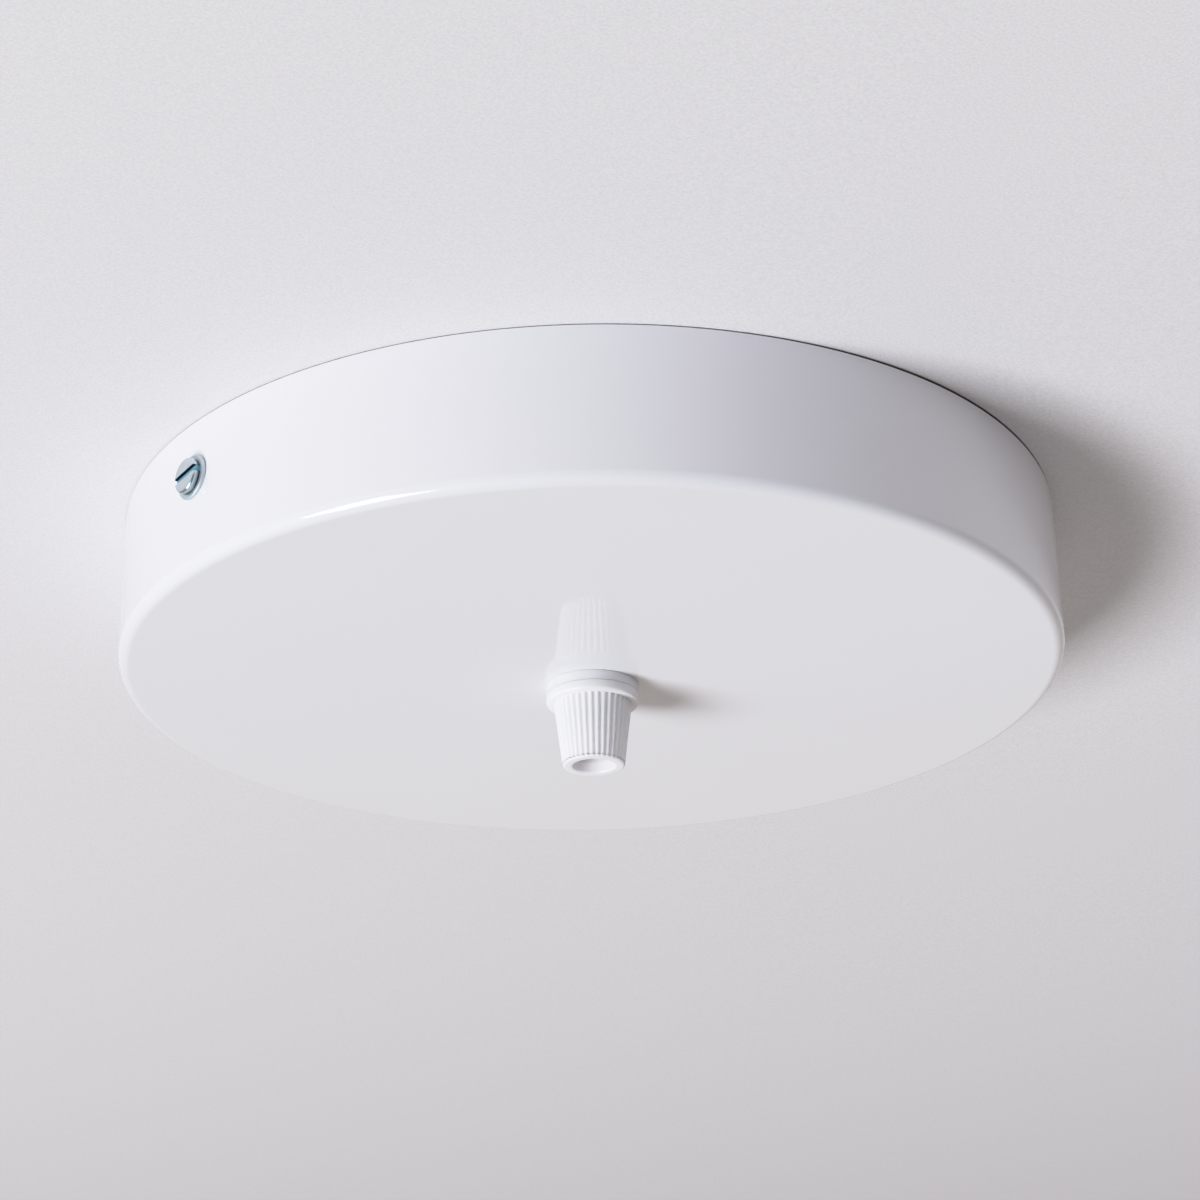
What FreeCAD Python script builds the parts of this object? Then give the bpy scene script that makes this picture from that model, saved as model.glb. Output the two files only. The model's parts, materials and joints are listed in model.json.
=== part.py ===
import FreeCAD, Part
import math
import os
from FreeCAD import Vector

# Electrical ceiling rose, in millimetres. The ceiling is the plane z = 0 and the rose hangs below it.
# The mounting bracket and the side screws lie along X, and the cord leaves downwards along the Z axis.

# Canopy: a shallow cup drawn from steel sheet, open towards the ceiling
canopy_radius = 75.0
canopy_height = 24.0
sheet = 1.0
edge_radius = 1.8
spigot_hole_radius = 5.25
screw_hole_radius = 1.8
side_screw_z = -9.25

# Mounting bracket: a strap folded down at both ends
strap_width = 18.0
strap_sheet = 1.5
ear_face_x = 73.4
ear_drop = 14.5
ear_corner = 4.0
fold_radius = 2.5
slot_spacing = 66.0
slot_length = 18.0
slot_radius = 2.5
supply_hole_radius = 6.5
tapped_gap = 0.03
screw_tip_chamfer = 0.35

# Side screws: low slotted heads, M3, each with a flat washer and left a little off level
side_screw_radius = 1.5
side_screw_length = 8.0
side_head_radius = 2.7
side_head_height = 1.1
side_head_round = 0.35
side_slot_width = 1.0
side_slot_depth = 0.65
side_slot_turn = 8.0
side_washer_radius = 3.4
side_washer_sheet = 0.5
side_washer_round = 0.15
washer_bore_gap = 0.1

# Cord grip: depths are measured down from the canopy's face
collar_radius = 7.43
collar_round = 0.3
base_depth = 1.55
parting_gap = 0.1
flange_depth = 3.25
flange_round = 0.5
cone_top_radius = 6.23
cone_end_radius = 4.93
grip_depth = 13.65
tip_round = 0.5
spigot_radius = 4.95
spigot_rise = 8.5
spigot_bore_round = 0.4
spigot_end_chamfer = 0.5
cap_thread_radius = 4.95
cap_thread_gap = 0.05
cap_thread_depth = 6.6
cap_thread_chamfer = 0.25
cap_thread_runout = 0.4
cord_bore_radius = 3.3
seat_mouth_radius = 4.3
seat_depth = 1.3
chamber_end_depth = 10.2
chamber_end_radius = 4.0
exit_bore_radius = 2.95
funnel_radius = 3.34
funnel_length = 1.6
funnel_round = 0.2
rib_count = 36
rib_groove_depth = 0.32
rib_end_depth = 13.4

# Collet: a split sleeve between the base's seat and the cap's chamber
collet_gap = 0.12
collet_slots = 4
collet_slot_width = 0.7
collet_web = 1.1
collet_land = 0.5

# Stack that clamps the spigot inside the canopy
tag_sheet = 0.8
tag_radius = 8.5
tag_blade_width = 6.3
tag_blade_length = 11.0
tag_blade_angle = 50.0
tag_neck = 1.0
tag_hole_radius = 0.9
tag_hole_share = 0.65
toothed_sheet = 0.8
toothed_radius = 8.2
toothed_root_radius = 6.6
tooth_count = 12
tooth_gap_share = 0.42
nut_flats = 14.0
nut_height = 3.0
nut_chamfer = 0.4
spigot_gap = 0.05

# Terminal block: three poles side by side, hung under the strap with its screw heads downwards
block_x = 52.5
pole_pitch = 11.0
pole_width = 9.4
pole_length = 19.0
pole_height = 9.0
pole_round = 1.5
moulded_overlap = 1.0
web_length = 8.0
web_height = 6.5
tower_radius = 3.4
tower_height = 5.0
tower_offset = 4.6
tower_chamfer = 0.5
tower_hole_radius = 2.15
barrel_depth = 4.8
barrel_radius = 3.0
barrel_bore_radius = 2.0
barrel_length = 15.0
wire_entry_radius = 2.3
terminal_screw_radius = 1.5
terminal_screw_length = 4.6
terminal_head_radius = 1.9
terminal_head_height = 1.4
terminal_slot_width = 0.6
terminal_slot_depth = 0.7
block_screw_radius = 1.5
block_hole_radius = 1.7
block_head_radius = 2.6
block_head_height = 1.8
block_head_gap = 0.3
block_slot_width = 0.8
block_slot_depth = 0.9
poles = {"terminal_live": -1, "terminal_earth": 0, "terminal_neutral": 1}

# Earth terminal of the bracket
earth_x = -52.5
earth_screw_radius = 2.0
earth_head_radius = 3.6
earth_head_height = 2.4
earth_head_round = 1.2
earth_slot_width = 1.0
earth_slot_depth = 1.2
cup_radius = 4.8
cup_sheet = 0.8
cup_rim_drop = 1.0

up = Vector(0, 0, 1)
origin = Vector(0, 0, 0)
face_z = -canopy_height
floor_z = face_z + sheet
strap_under_z = -strap_sheet


def rounded_outline(corners):
    # A closed wire in the XZ plane, from corners (x, z, rounding radius)
    points = [Vector(x, 0, z) for x, z, radius in corners]
    spans = []
    for index, corner in enumerate(corners):
        here = points[index]
        before = (points[index - 1] - here).normalize()
        after = (points[(index + 1) % len(points)] - here).normalize()
        half = before.getAngle(after) / 2
        radius = corner[2]
        reach = radius / math.tan(half)
        inward = (before + after).normalize() if radius else origin
        crown = here + inward * (radius / math.sin(half) - radius)
        spans.append((here + before * reach, crown, here + after * reach))
    edges = []
    for index, (start, crown, end) in enumerate(spans):
        if corners[index][2]:
            edges.append(Part.Arc(start, crown, end).toShape())
        following = spans[(index + 1) % len(spans)][0]
        if end.distanceToPoint(following) > 1e-6:
            edges.append(Part.LineSegment(end, following).toShape())
    return Part.Wire(edges)


def turned(corners, angle=360):
    # A solid of revolution about Z, from corners (radius, z, rounding radius)
    return Part.Face(rounded_outline(corners)).revolve(origin, up, angle)


def post(radius, low, high, x=0, y=0):
    # An upright cylinder between two heights
    return Part.makeCylinder(radius, high - low, Vector(x, y, low), up)


def bar(length_x, length_y, low, high, x=0, y=0):
    # A box centred on (x, y) between two heights
    corner = Vector(x - length_x / 2, y - length_y / 2, low)
    return Part.makeBox(length_x, length_y, high - low, corner)


def around(shape, count):
    # Copies of a shape at equal turns about Z
    copies = []
    for index in range(count):
        copy = shape.copy()
        copy.rotate(origin, up, 360 * index / count)
        copies.append(copy)
    return copies


def corner_edges(shape, direction):
    # The straight edges of a shape that run along one direction
    chosen = []
    for edge in shape.Edges:
        straight = edge.Curve.TypeId == "Part::GeomLine"
        if straight and abs(abs(edge.tangentAt(edge.FirstParameter).dot(direction)) - 1) < 1e-6:
            chosen.append(edge)
    return chosen


def slotted_screw(head_radius, head_height, radius, length, slot_width, slot_depth, head_round=0):
    # Head above z = 0 with its slot along X, shank below
    screw = turned([
        (0, -length, 0),
        (radius - screw_tip_chamfer, -length, 0),
        (radius, screw_tip_chamfer - length, 0),
        (radius, 0, 0),
        (head_radius, 0, 0),
        (head_radius, head_height, head_round),
        (0, head_height, 0),
    ])
    slot = bar(4 * head_radius, slot_width, head_height - slot_depth, 2 * head_height)
    return screw.cut(slot)


def hung(screw, x, y, z):
    # Turns a screw head down and seats it under the height z
    placed = screw.copy()
    placed.rotate(origin, Vector(1, 0, 0), 180)
    placed.translate(Vector(x, y, z))
    return placed


def sideways(shape):
    # Puts a shape that stands on z = 0 on both ends of the X axis, pointing outwards
    pair = []
    for turn in (90, -90):
        copy = shape.copy()
        copy.rotate(origin, Vector(0, 1, 0), turn)
        pair.append(copy)
    return pair


def cross_drill(radius):
    # The line of both side screws, right across the rose
    start = Vector(-2 * canopy_radius, 0, side_screw_z)
    return Part.makeCylinder(radius, 4 * canopy_radius, start, Vector(1, 0, 0))


def make_canopy():
    inner = canopy_radius - sheet
    cup = turned([
        (spigot_hole_radius, face_z, 0),
        (canopy_radius, face_z, edge_radius),
        (canopy_radius, 0, 0),
        (inner, 0, 0),
        (inner, floor_z, edge_radius - sheet),
        (spigot_hole_radius, floor_z, 0),
    ])
    return cup.cut(cross_drill(screw_hole_radius))


def make_bracket():
    inside_x = ear_face_x - strap_sheet
    inside_fold = fold_radius - strap_sheet
    profile = rounded_outline([
        (-ear_face_x, -ear_drop, 0),
        (-ear_face_x, 0, fold_radius),
        (ear_face_x, 0, fold_radius),
        (ear_face_x, -ear_drop, 0),
        (inside_x, -ear_drop, 0),
        (inside_x, strap_under_z, inside_fold),
        (-inside_x, strap_under_z, inside_fold),
        (-inside_x, -ear_drop, 0),
    ])
    strap = Part.Face(profile).extrude(Vector(0, strap_width, 0))
    strap.translate(Vector(0, -strap_width / 2, 0))
    ear_corners = [e for e in corner_edges(strap, Vector(1, 0, 0)) if e.BoundBox.ZMax < -ear_drop / 2]
    strap = strap.makeFillet(ear_corner, ear_corners)

    below, above = 2 * strap_under_z, strap_sheet
    holes = [post(supply_hole_radius, below, above)]
    for side in (-1, 1):
        straight = slot_length - 2 * slot_radius
        middle = side * slot_spacing / 2
        holes.append(bar(straight, 2 * slot_radius, below, above, middle))
        holes.append(post(slot_radius, below, above, middle - straight / 2))
        holes.append(post(slot_radius, below, above, middle + straight / 2))
        holes.append(post(block_screw_radius + tapped_gap, below, above, block_x, side * pole_pitch / 2))
    holes.append(post(earth_screw_radius + tapped_gap, below, above, earth_x))
    holes.append(cross_drill(side_screw_radius + tapped_gap))
    return strap.cut(Part.makeCompound(holes))


def make_side_screws():
    screw = slotted_screw(
        side_head_radius, side_head_height, side_screw_radius, side_screw_length, side_slot_width,
        side_slot_depth, side_head_round)
    screw.rotate(origin, up, 90 + side_slot_turn)
    screw.translate(Vector(0, 0, canopy_radius + side_washer_sheet))
    pair = Part.makeCompound(sideways(screw))
    pair.translate(Vector(0, 0, side_screw_z))
    return pair


def make_side_washers():
    bore = side_screw_radius + washer_bore_gap
    washer = turned([
        (bore, 0, 0),
        (side_washer_radius, 0, 0),
        (side_washer_radius, side_washer_sheet, side_washer_round),
        (bore, side_washer_sheet, 0),
    ])
    washer.translate(Vector(0, 0, canopy_radius))
    pair = Part.makeCompound(sideways(washer))
    pair.translate(Vector(0, 0, side_screw_z))
    return pair


def make_grip_base():
    return turned([
        (cord_bore_radius, face_z + spigot_rise, spigot_bore_round),
        (spigot_radius - spigot_end_chamfer, face_z + spigot_rise, 0),
        (spigot_radius, face_z + spigot_rise - spigot_end_chamfer, 0),
        (spigot_radius, face_z, 0),
        (collar_radius, face_z, 0),
        (collar_radius, face_z - base_depth, collar_round),
        (cap_thread_radius, face_z - base_depth, 0),
        (cap_thread_radius, face_z - cap_thread_depth + cap_thread_chamfer, 0),
        (cap_thread_radius - cap_thread_chamfer, face_z - cap_thread_depth, 0),
        (seat_mouth_radius, face_z - cap_thread_depth, 0),
        (cord_bore_radius, face_z - cap_thread_depth + seat_depth, 0),
    ])


def cone_radius(depth):
    # Radius of the cap's cone over the ribs at a depth below the face
    share = (depth - flange_depth) / (grip_depth - flange_depth)
    return cone_top_radius + share * (cone_end_radius - cone_top_radius)


def make_grip_cap():
    thread = cap_thread_radius + cap_thread_gap
    cap_top = base_depth + parting_gap
    thread_end = cap_thread_depth + cap_thread_runout
    body = turned([
        (thread, face_z - cap_top, 0),
        (collar_radius, face_z - cap_top, collar_round),
        (collar_radius, face_z - flange_depth, flange_round),
        (cone_top_radius, face_z - flange_depth, 0),
        (cone_end_radius, face_z - grip_depth, tip_round),
        (funnel_radius, face_z - grip_depth, funnel_round),
        (exit_bore_radius, face_z - grip_depth + funnel_length, 0),
        (exit_bore_radius, face_z - chamber_end_depth, 0),
        (chamber_end_radius, face_z - chamber_end_depth, 0),
        (thread, face_z - thread_end, 0),
    ])
    floor_start = cone_top_radius - rib_groove_depth
    floor_end = cone_radius(rib_end_depth) - rib_groove_depth
    groove = turned([
        (floor_start, face_z - flange_depth, 0),
        (2 * collar_radius, face_z - flange_depth, 0),
        (2 * collar_radius, face_z - rib_end_depth, 0),
        (floor_end, face_z - rib_end_depth, 0),
    ], 180 / rib_count)
    return body.cut(Part.makeCompound(around(groove, rib_count)))


def make_grip_collet():
    seat_top = cap_thread_depth - seat_depth
    shoulder = cap_thread_depth + collet_land
    low_end = chamber_end_depth - collet_gap
    widest = seat_mouth_radius - collet_gap
    sleeve = turned([
        (exit_bore_radius, face_z - seat_top - 2 * collet_gap, 0),
        (cord_bore_radius, face_z - seat_top - 2 * collet_gap, 0),
        (widest, face_z - cap_thread_depth - collet_gap, 0),
        (widest, face_z - shoulder, 0),
        (chamber_end_radius - collet_gap, face_z - low_end, 0),
        (exit_bore_radius, face_z - low_end, 0),
    ])
    split = bar(2 * widest, collet_slot_width, face_z - low_end + collet_web, face_z, widest)
    return sleeve.cut(Part.makeCompound(around(split, collet_slots)))


def make_earth_tag():
    bore = spigot_radius + spigot_gap
    high_z = floor_z + tag_sheet
    ring = turned([
        (bore, floor_z, 0),
        (tag_radius, floor_z, 0),
        (tag_radius, high_z, 0),
        (bore, high_z, 0),
    ])
    angle = math.radians(tag_blade_angle)
    reach = tag_blade_length * math.cos(angle)
    rise = tag_blade_length * math.sin(angle)
    lean_x = tag_sheet * math.sin(angle)
    lean_z = tag_sheet * math.cos(angle)
    root_x = bore + tag_neck
    fold_x = tag_radius + tag_neck
    crest = tag_sheet * math.tan(angle / 2)
    blade = Part.Face(rounded_outline([
        (root_x, floor_z, 0),
        (fold_x, floor_z, 0),
        (fold_x + reach, floor_z + rise, 0),
        (fold_x + reach - lean_x, floor_z + rise + lean_z, 0),
        (fold_x - crest, high_z, 0),
        (root_x, high_z, 0),
    ])).extrude(Vector(0, tag_blade_width, 0))
    blade.translate(Vector(0, -tag_blade_width / 2, 0))
    middle = Vector(fold_x + tag_hole_share * reach, 0, floor_z + tag_hole_share * rise)
    along = Vector(-math.sin(angle), 0, math.cos(angle))
    drill = Part.makeCylinder(tag_hole_radius, 4 * tag_sheet, middle - along * tag_sheet, along)
    tag = ring.fuse(blade.cut(drill)).removeSplitter()
    tag.rotate(origin, up, 90)
    return tag


def make_toothed_washer():
    low = floor_z + tag_sheet
    high = low + toothed_sheet
    bore = spigot_radius + spigot_gap
    ring = turned([(bore, low, 0), (toothed_radius, low, 0), (toothed_radius, high, 0), (bore, high, 0)])
    gap = turned([
        (toothed_root_radius, low - toothed_sheet, 0),
        (2 * toothed_radius, low - toothed_sheet, 0),
        (2 * toothed_radius, high + toothed_sheet, 0),
        (toothed_root_radius, high + toothed_sheet, 0),
    ], 360 * tooth_gap_share / tooth_count)
    return ring.cut(Part.makeCompound(around(gap, tooth_count)))


def make_lock_nut():
    low = floor_z + tag_sheet + toothed_sheet
    high = low + nut_height
    bore = spigot_radius + spigot_gap
    corner = nut_flats / math.sqrt(3)
    turns = [math.pi * n / 3 for n in range(7)]
    hexagon = [Vector(corner * math.cos(turn), corner * math.sin(turn), low) for turn in turns]
    prism = Part.Face(Part.makePolygon(hexagon)).extrude(Vector(0, 0, nut_height))
    corner_drop = (corner - nut_flats / 2) / 2
    lathe = turned([
        (bore, low + nut_chamfer, 0),
        (bore + nut_chamfer, low, 0),
        (nut_flats / 2, low, 0),
        (corner, low + corner_drop, 0),
        (corner, high - corner_drop, 0),
        (nut_flats / 2, high, 0),
        (bore + nut_chamfer, high, 0),
        (bore, high - nut_chamfer, 0),
    ])
    return prism.common(lathe)


def make_terminal_housing():
    under = strap_under_z - pole_height
    crown = under - tower_height
    web_z = strap_under_z - web_height
    pieces = []
    holes = []
    for row in poles.values():
        y = row * pole_pitch
        pole = bar(pole_length, pole_width, under, strap_under_z, block_x, y)
        pieces.append(pole.makeFillet(pole_round, corner_edges(pole, up)))
        barrel_z = strap_under_z - barrel_depth
        start = Vector(block_x - pole_length, y, barrel_z)
        holes.append(Part.makeCylinder(wire_entry_radius, 2 * pole_length, start, Vector(1, 0, 0)))
        start = Vector(block_x - barrel_length / 2, y, barrel_z)
        holes.append(Part.makeCylinder(barrel_radius, barrel_length, start, Vector(1, 0, 0)))
        for side in (-1, 1):
            x = block_x + side * tower_offset
            tower = turned([
                (0, crown, 0),
                (tower_radius - tower_chamfer, crown, 0),
                (tower_radius, crown + tower_chamfer, 0),
                (tower_radius, under + moulded_overlap, 0),
                (0, under + moulded_overlap, 0),
            ])
            tower.translate(Vector(x, y, 0))
            pieces.append(tower)
            holes.append(post(tower_hole_radius, 2 * crown, barrel_z, x, y))
    for side in (-1, 1):
        y = side * pole_pitch / 2
        web_width = pole_pitch - pole_width + moulded_overlap
        pieces.append(bar(web_length, web_width, web_z, strap_under_z, block_x, y))
        holes.append(post(block_hole_radius, 2 * under, 0, block_x, y))
        holes.append(post(block_head_radius + block_head_gap, 2 * under, web_z, block_x, y))
    body = pieces[0].multiFuse(pieces[1:]).removeSplitter()
    return body.cut(Part.makeCompound(holes))


def make_terminal(row):
    y = row * pole_pitch
    barrel_z = strap_under_z - barrel_depth
    start = Vector(block_x - barrel_length / 2, y, barrel_z)
    barrel = Part.makeCylinder(barrel_radius, barrel_length, start, Vector(1, 0, 0))
    holes = [Part.makeCylinder(barrel_bore_radius, barrel_length, start, Vector(1, 0, 0))]
    for side in (-1, 1):
        x = block_x + side * tower_offset
        holes.append(post(terminal_screw_radius + tapped_gap, barrel_z - 2 * barrel_radius, barrel_z, x, y))
    return barrel.cut(Part.makeCompound(holes))


def make_terminal_screws():
    screw = slotted_screw(
        terminal_head_radius, terminal_head_height, terminal_screw_radius, terminal_screw_length,
        terminal_slot_width, terminal_slot_depth)
    tip_z = strap_under_z - barrel_depth - barrel_bore_radius
    seat_z = tip_z - terminal_screw_length
    screws = []
    for row in poles.values():
        for side in (-1, 1):
            screws.append(hung(screw, block_x + side * tower_offset, row * pole_pitch, seat_z))
    return Part.makeCompound(screws)


def make_block_screws():
    seat_z = strap_under_z - web_height
    screw = slotted_screw(
        block_head_radius, block_head_height, block_screw_radius, -seat_z, block_slot_width, block_slot_depth)
    return Part.makeCompound([hung(screw, block_x, side * pole_pitch / 2, seat_z) for side in (-1, 1)])


def make_earth_cup_washer():
    bore = earth_screw_radius + washer_bore_gap
    low = strap_under_z - cup_sheet
    return turned([
        (bore, strap_under_z, 0),
        (cup_radius - cup_sheet, strap_under_z, 0),
        (cup_radius, low, 0),
        (cup_radius, low - cup_rim_drop, 0),
        (cup_radius - cup_sheet, low - cup_rim_drop, 0),
        (cup_radius - cup_sheet, low, 0),
        (bore, low, 0),
    ])


def make_earth_screw():
    seat_z = strap_under_z - cup_sheet
    screw = slotted_screw(
        earth_head_radius, earth_head_height, earth_screw_radius, -seat_z, earth_slot_width,
        earth_slot_depth, earth_head_round)
    return hung(screw, earth_x, 0, seat_z)


def main():
    cup_washer = make_earth_cup_washer()
    cup_washer.translate(Vector(earth_x, 0, 0))
    pieces = {
        "canopy": make_canopy(),
        "mounting_bracket": make_bracket(),
        "side_screws": make_side_screws(),
        "side_washers": make_side_washers(),
        "grip_base": make_grip_base(),
        "grip_collet": make_grip_collet(),
        "grip_cap": make_grip_cap(),
        "earth_tag": make_earth_tag(),
        "toothed_washer": make_toothed_washer(),
        "lock_nut": make_lock_nut(),
        "terminal_housing": make_terminal_housing(),
        "terminal_screws": make_terminal_screws(),
        "block_screws": make_block_screws(),
        "earth_cup_washer": cup_washer,
        "earth_screw": make_earth_screw(),
    }
    for name, row in poles.items():
        pieces[name] = make_terminal(row)
    os.makedirs("parts", exist_ok=True)
    for name, shape in pieces.items():
        print(name, "solids", len(shape.Solids), "valid", shape.isValid(), "volume", round(shape.Volume, 1))
        shape.exportStep(f"parts/{name}.step")


main()
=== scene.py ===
import json
import math
import bmesh
import bpy
import numpy as np
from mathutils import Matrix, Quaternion, Vector


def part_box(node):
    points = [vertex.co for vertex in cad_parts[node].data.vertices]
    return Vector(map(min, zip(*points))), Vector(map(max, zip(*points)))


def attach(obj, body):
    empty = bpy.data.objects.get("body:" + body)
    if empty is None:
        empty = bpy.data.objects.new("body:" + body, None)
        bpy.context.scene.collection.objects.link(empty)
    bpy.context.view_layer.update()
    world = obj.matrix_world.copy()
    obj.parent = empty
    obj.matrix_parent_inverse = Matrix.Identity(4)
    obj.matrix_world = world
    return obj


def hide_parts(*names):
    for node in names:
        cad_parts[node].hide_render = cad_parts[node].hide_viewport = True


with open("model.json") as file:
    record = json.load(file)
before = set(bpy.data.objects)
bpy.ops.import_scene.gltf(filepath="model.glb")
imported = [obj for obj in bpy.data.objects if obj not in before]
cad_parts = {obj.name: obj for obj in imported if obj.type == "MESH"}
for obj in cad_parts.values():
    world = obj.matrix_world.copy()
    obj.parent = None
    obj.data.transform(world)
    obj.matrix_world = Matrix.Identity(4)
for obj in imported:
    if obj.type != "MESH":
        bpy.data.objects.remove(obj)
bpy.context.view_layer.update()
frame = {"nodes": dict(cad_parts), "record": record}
mm = 0.001  # sizes below are millimetres, Blender's are metres
fullTurn = 2 * np.pi
weld = 0.0003  # points nearer than this are made one
sharpAngle = 32.0  # faces that meet at more degrees than this show an edge


def nodeBox(node):  # lowest and highest corner of a CAD node, in millimetres
    low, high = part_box(node)
    return np.array(low) / mm, np.array(high) / mm


# Shapes as grids of points

def unit(vector):
    return vector / np.linalg.norm(vector)


def roundedLoop(corners, stepDegrees=9.0, guard=0.03):
    # Closed outline in (radius, height). A corner (radius, height, rounding) becomes an arc whose centre lies
    # rounding / sin(half the corner) along the bisector; a guard point beside each arc end keeps flats flat.
    points = np.array([corner[:2] for corner in corners], float)
    stretches = []
    for index, (here, rounding) in enumerate(zip(points, [corner[2] for corner in corners])):
        before = unit(points[index - 1] - here)
        after = unit(points[(index + 1) % len(points)] - here)
        half = np.arccos(np.clip(before @ after, -1, 1)) / 2
        if not rounding:
            stretches.append(here[None])
            continue
        reach = rounding / np.tan(half)
        centre = here + unit(before + after) * rounding / np.sin(half)
        start, end = here + before * reach, here + after * reach
        sweep = np.pi - 2 * half
        share = np.linspace(0, 1, max(3, int(np.ceil(np.degrees(sweep) / stepDegrees))) + 1)[:, None]
        arc = np.sin((1 - share) * sweep) * (start - centre) + np.sin(share * sweep) * (end - centre)
        arc = centre + arc / np.sin(sweep)
        stretches.append(np.vstack([start + before * guard, arc, end + after * guard]))
    return np.concatenate(stretches)


def straightRun(radius, fromZ, toZ, count):  # sharp corners along an upright wall, for rows that need them
    return [(radius, height, 0) for height in np.linspace(fromZ, toZ, count)]


def sheet(points, closeU=True, closeV=True, recess=0.0):
    # A grid of points, with each one's distance from the local Z axis and how far it lies in a slot, from 0 to 1;
    # the same value sets painted shade at a screw's seat and on the ceiling's band above the rim
    return {"points": points, "closeU": closeU, "closeV": closeV, "lathe": np.hypot(points[..., 0], points[..., 1]),
            "recess": recess + 0 * points[..., 0]}


def revolved(outline, count, closeV=True):
    # Outline carried round Z: x = r cos t, y = r sin t, z = height. Radius and height may also vary with t.
    turn = np.linspace(0, fullTurn, count, endpoint=False)[:, None]
    radius, height = np.broadcast_arrays(outline[..., 0] + 0 * turn, outline[..., 1] + 0 * turn)
    return sheet(np.stack([radius * np.cos(turn), radius * np.sin(turn), height], -1), closeV=closeV)


def placed(part, axis, along, offset):
    # Turns a sheet so that local Z lies on axis and local X lies on along, then moves it
    axis, along = np.array(axis, float), np.array(along, float)
    columns = np.stack([along, np.cross(axis, along), axis], 1)
    return {**part, "points": part["points"] @ columns.T + np.array(offset, float)}


def threadDrop(height, turn, pitch):
    # Right-hand thread: 0 on the crest and 1 in the root, a clipped triangle of height / pitch - turn
    flank, crest = 1.3, 0.15  # steepness of the sides, and what is cut off the point
    phase = np.mod(height / pitch - turn / fullTurn, 1)
    return np.clip(flank * (1 - np.abs(2 * phase - 1)) - crest, 0, 1)


def fadeEnds(height, low, high, length):  # 1 between two heights, falling to 0 over a length at both ends
    return np.clip((height - low) / length, 0, 1) * np.clip((high - height) / length, 0, 1)


def meshFromSheets(name, sheets, sharpDegrees=sharpAngle):  # one mesh of quads from the grids, with their attributes
    corners, quads, start = [], [], 0
    for part in sheets:
        rows, columns = part["points"].shape[:2]
        index = np.arange(rows * columns).reshape(rows, columns) + start
        index = np.vstack([index, index[:1]]) if part["closeU"] else index
        index = np.hstack([index, index[:, :1]]) if part["closeV"] else index
        quads.append(np.stack([index[:-1, :-1], index[1:, :-1], index[1:, 1:], index[:-1, 1:]], -1).reshape(-1, 4))
        corners.append(part["points"].reshape(-1, 3))
        start += rows * columns
    mesh = bpy.data.meshes.new(name)
    mesh.from_pydata((np.concatenate(corners) * mm).tolist(), [], np.concatenate(quads).tolist())
    for key in ("lathe", "recess"):
        values = np.concatenate([part[key].reshape(-1) for part in sheets])
        mesh.attributes.new(key, "FLOAT", "POINT").data.foreach_set("value", values.astype(np.float32))
    return tidyMesh(mesh, sharpDegrees)


def tidyMesh(mesh, sharpDegrees, flatDegrees=None):
    # Closes seams and poles, points faces outwards and shades smooth between sharp edges
    shell = bmesh.new()
    shell.from_mesh(mesh)
    bmesh.ops.remove_doubles(shell, verts=shell.verts, dist=weld * mm)
    bmesh.ops.dissolve_degenerate(shell, edges=shell.edges, dist=weld * mm)
    if flatDegrees:
        bmesh.ops.dissolve_limit(shell, angle_limit=math.radians(flatDegrees), verts=shell.verts, edges=shell.edges)
    bmesh.ops.recalc_face_normals(shell, faces=shell.faces)
    shell.to_mesh(mesh)
    shell.free()
    if "custom_normal" in mesh.attributes:
        mesh.attributes.remove(mesh.attributes["custom_normal"])
    mesh.polygons.foreach_set("use_smooth", np.ones(len(mesh.polygons), bool))
    mesh.set_sharp_from_angle(angle=math.radians(sharpDegrees))
    return mesh


def newObject(name, mesh, material):
    piece = bpy.data.objects.new(name, mesh)
    bpy.context.scene.collection.objects.link(piece)
    mesh.materials.clear()
    mesh.materials.append(material)
    return piece


def standFor(piece, node):  # the piece takes a CAD node's place and body, and hides the node
    bodies = frame["record"]["behaviour"]["bodies"]
    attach(piece, next(body for body, members in bodies.items() if node in members))
    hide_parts(node)
    print("piece", piece.name, "for", node, len(piece.data.polygons), "faces")


def brokenEdges(piece, width):  # softens the edges that a tool or a mould would leave broken
    edge = dict(segments=2, fromDegrees=40.0)
    bevel = piece.modifiers.new("brokenEdges", "BEVEL")
    bevel.width = width * mm
    bevel.segments = edge["segments"]
    bevel.limit_method = "ANGLE"
    bevel.angle_limit = math.radians(edge["fromDegrees"])
    bevel.harden_normals = True


def solidCopy(name, node, material, edge):
    # A CAD node's own solid, its triangles merged and its flats made whole, with its edges broken
    mesh = frame["nodes"][node].data.copy()
    mesh.name = name
    piece = newObject(name, tidyMesh(mesh, sharpAngle, flatDegrees=0.5), material)
    brokenEdges(piece, edge)
    standFor(piece, node)


def cutAway(piece, cutter):  # takes the cutter's solid out of the piece for good
    hole = piece.modifiers.new("cut", "BOOLEAN")
    hole.object = cutter
    hole.solver = "EXACT"
    whole = bpy.data.meshes.new_from_object(piece.evaluated_get(bpy.context.evaluated_depsgraph_get()))
    piece.modifiers.clear()
    piece.data = whole
    bpy.data.objects.remove(cutter)
    whole.set_sharp_from_angle(angle=math.radians(sharpAngle))


# Materials

def hexLinear(code):  # sRGB hex to the linear values that shaders use
    parts = np.array([int(code[i:i + 2], 16) for i in (1, 3, 5)]) / 255
    linear = np.where(parts <= 0.04045, parts / 12.92, ((parts + 0.055) / 1.055) ** 2.4)
    return (*linear.tolist(), 1.0)


def perMetre(size):  # texture scale that makes one feature of a pattern this many millimetres wide
    return 1 / (size * mm)


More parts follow.
